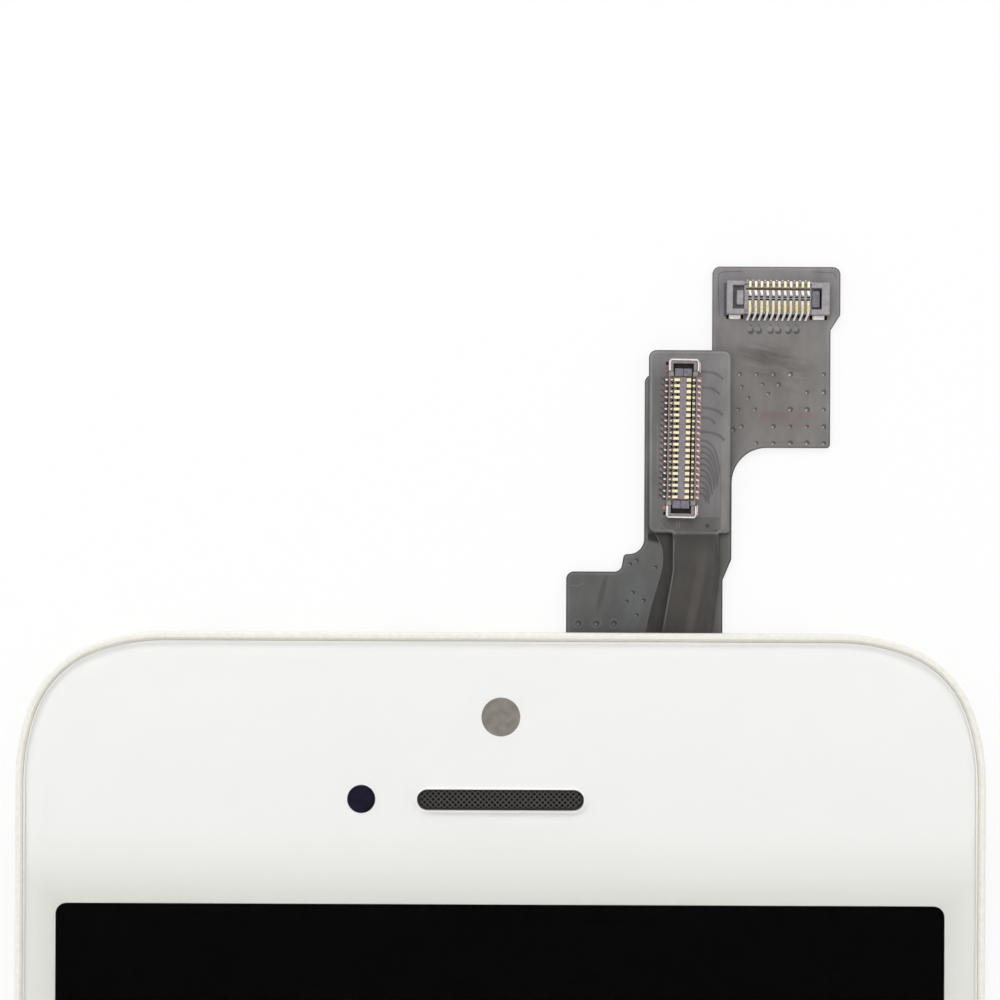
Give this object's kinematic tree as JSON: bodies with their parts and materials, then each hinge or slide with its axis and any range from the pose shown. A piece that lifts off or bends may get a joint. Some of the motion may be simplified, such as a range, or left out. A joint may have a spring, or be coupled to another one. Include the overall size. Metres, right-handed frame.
{
  "type": "phone lcd screen assembly",
  "caption": "Front screen assembly of a small phone: cover glass in a plastic frame over an LCD module, with flat flex cables that end in board-to-board connectors.",
  "frame": {"origin": "centre of the front's outline, in the plane of the steel tray's rear face", "axes": "+X to the right of the front, +Y to the phone's top end, +Z out of the glass"},
  "size_m": [0.0564, 0.1435, 0.0024],
  "materials": {
    "cover_glass": "polished strengthened glass",
    "white_ink": "opaque white print",
    "dark_ink": "dark infrared ink",
    "grey_film": "grey film",
    "clear_adhesive": "clear adhesive",
    "front_polarizer": "dark polarizing film",
    "panel_glass": "thin panel glass",
    "silicon": "bare die",
    "rear_polarizer": "polarizing film",
    "optical_film": "clear optical film",
    "acrylic": "clear acrylic",
    "reflector_film": "bright white film",
    "strip_film": "white coated strip",
    "led_resin": "yellow LED resin",
    "white_plastic": "white moulding",
    "tray_steel": "folded stainless sheet",
    "frame_plastic": "cream white moulding",
    "black_adhesive": "black adhesive bead",
    "fitting_steel": "stamped stainless sheet",
    "mesh_steel": "dark woven mesh",
    "black_foam": "foam",
    "black_plastic": "black moulding",
    "black_rubber": "soft rubber",
    "flex_film": "dark grey polyimide film",
    "stiffener_steel": "thin stiffener sheet",
    "connector_plastic": "grey liquid crystal polymer",
    "gold_plate": "gold plated strip",
    "nickel_plate": "tin plated steel"
  },
  "bodies": {
    "root": {"cover_glass": "cover_glass", "border_print": "white_ink", "sensor_ink": "dark_ink", "camera_window_film": "grey_film", "optical_adhesive": "clear_adhesive", "front_polarizer": "front_polarizer", "color_filter_glass": "panel_glass", "tft_glass": "panel_glass", "driver_chip": "silicon", "rear_polarizer": "rear_polarizer", "upper_prism_sheet": "optical_film", "lower_prism_sheet": "optical_film", "diffuser_sheet": "optical_film", "light_guide_plate": "acrylic", "reflector_sheet": "reflector_film", "led_strip": "strip_film", "backlight_leds": "led_resin", "backlight_frame": "white_plastic", "backlight_tray": "tray_steel", "bezel_frame": "frame_plastic", "frame_skirt": "frame_plastic", "frame_adhesive": "black_adhesive", "left_rail": "fitting_steel", "right_rail": "fitting_steel", "top_hooks": "fitting_steel", "bottom_ears": "fitting_steel", "earpiece_mesh": "mesh_steel", "mesh_gasket": "black_foam", "earpiece_bracket": "black_plastic", "camera_ring": "black_plastic", "sensor_bracket": "black_plastic", "button_gasket": "black_rubber", "button_bosses": "fitting_steel", "touch_flex": "flex_film", "touch_stiffener": "stiffener_steel", "display_flex": "flex_film", "display_stiffener": "stiffener_steel", "display_connector_housing": "connector_plastic", "display_connector_contacts": "gold_plate", "display_connector_nails": "nickel_plate", "touch_connector_housing": "connector_plastic", "touch_connector_contacts": "gold_plate", "touch_connector_nails": "nickel_plate"}
  },
  "joints": []
}
